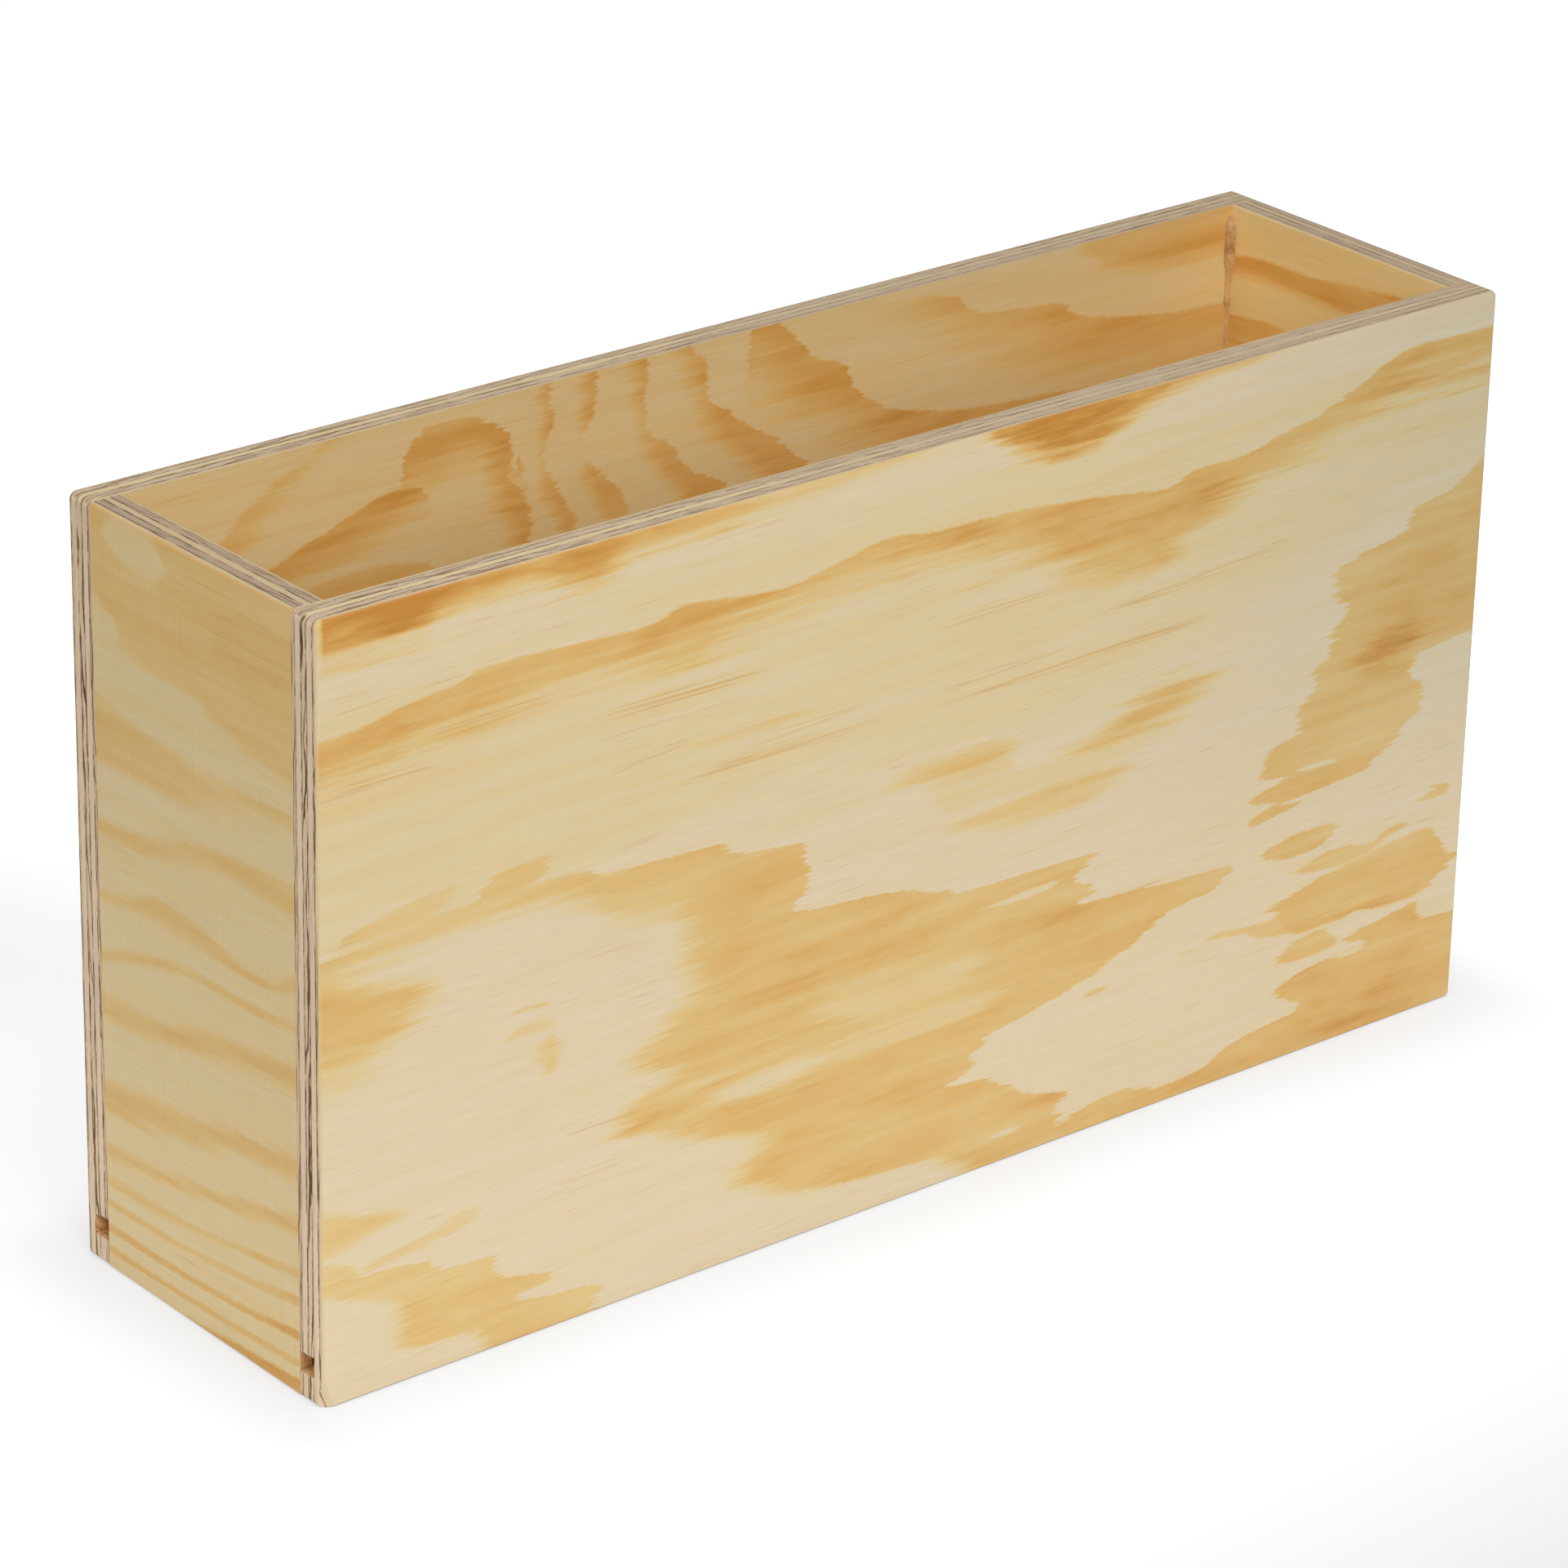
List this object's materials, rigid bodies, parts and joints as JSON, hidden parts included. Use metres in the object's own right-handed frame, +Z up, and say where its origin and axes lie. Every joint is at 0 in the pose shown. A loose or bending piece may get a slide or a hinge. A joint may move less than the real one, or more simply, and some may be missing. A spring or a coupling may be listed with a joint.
{
  "type": "index card box",
  "caption": "Open-topped, narrow box of pine plywood for index cards standing on edge: glued butt corners, a floor held in a groove, and sanded edges that show the plies.",
  "frame": {"origin": "centre of the underside of the box, on the surface that it stands on", "axes": "+X along the length from the left end to the right end, +Y from the front board to the back board, +Z up"},
  "size_m": [0.36, 0.096, 0.195],
  "materials": {
    "face_veneer": "sanded bare pine, rotary cut, cream with amber bands",
    "inner_veneer": "sanded bare pine, rotary cut, cream with amber bands",
    "crossband": "sanded ply edge, grey-tan end grain and light long grain",
    "core_veneer": "sanded ply edge, light long grain and brown end grain",
    "floor_veneer": "sanded bare pine",
    "glue": "dried wood glue, dull brown"
  },
  "bodies": {
    "root": {"front_face_veneer": "face_veneer", "front_outer_crossband": "crossband", "front_core": "core_veneer", "front_inner_crossband": "crossband", "front_inner_veneer": "inner_veneer", "back_face_veneer": "face_veneer", "back_outer_crossband": "crossband", "back_core": "core_veneer", "back_inner_crossband": "crossband", "back_inner_veneer": "inner_veneer", "left_end_face_veneer": "face_veneer", "left_end_outer_crossband": "crossband", "left_end_core": "core_veneer", "left_end_inner_crossband": "crossband", "left_end_inner_veneer": "inner_veneer", "right_end_face_veneer": "face_veneer", "right_end_outer_crossband": "crossband", "right_end_core": "core_veneer", "right_end_inner_crossband": "crossband", "right_end_inner_veneer": "inner_veneer", "floor_top_veneer": "floor_veneer", "floor_core": "core_veneer", "floor_bottom_veneer": "floor_veneer", "glue_bead_front_left": "glue", "glue_bead_front_right": "glue", "glue_bead_back_left": "glue", "glue_bead_back_right": "glue"}
  },
  "joints": []
}
